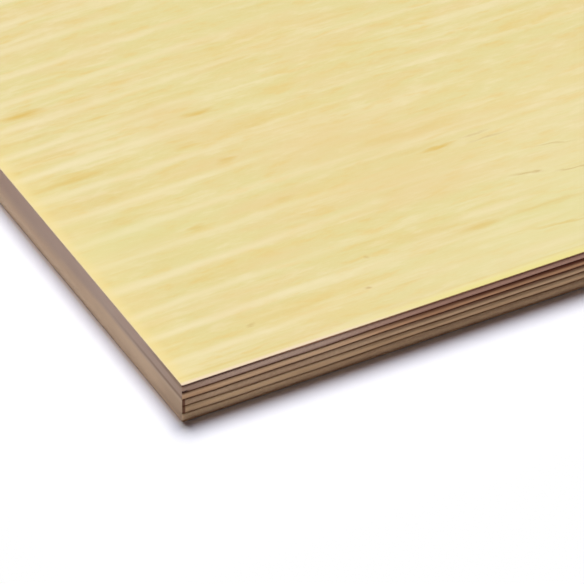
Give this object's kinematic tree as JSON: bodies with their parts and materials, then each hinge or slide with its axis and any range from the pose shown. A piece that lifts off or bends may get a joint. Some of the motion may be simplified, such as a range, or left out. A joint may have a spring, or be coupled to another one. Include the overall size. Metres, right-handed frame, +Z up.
{
  "type": "plywood sheet",
  "caption": "Flat rectangular sheet of veneer-core plywood with a pale yellow face, cross-banded plies and dark glue lines showing on its edges, for building and cabinet work.",
  "frame": {"origin": "middle of the sheet's underside, on the floor it lies on", "axes": "+X along the length and the face grain, +Y along the width, +Z up through the thickness to the face veneer"},
  "size_m": [2.44, 1.22, 0.018],
  "materials": {
    "face_veneer": "sanded smooth",
    "back_veneer": "sanded smooth",
    "crossband": "sawn end grain on the long edges",
    "long_ply": "sawn along the grain on the long edges",
    "glue": "hardened dark resin"
  },
  "bodies": {
    "root": {"back_veneer": "back_veneer", "lower_crossband": "crossband", "lower_long_ply": "long_ply", "centre_crossband": "crossband", "upper_long_ply": "long_ply", "upper_crossband": "crossband", "face_veneer": "face_veneer", "glue_line_1": "glue", "glue_line_2": "glue", "glue_line_3": "glue", "glue_line_4": "glue", "glue_line_5": "glue", "glue_line_6": "glue"}
  },
  "joints": []
}
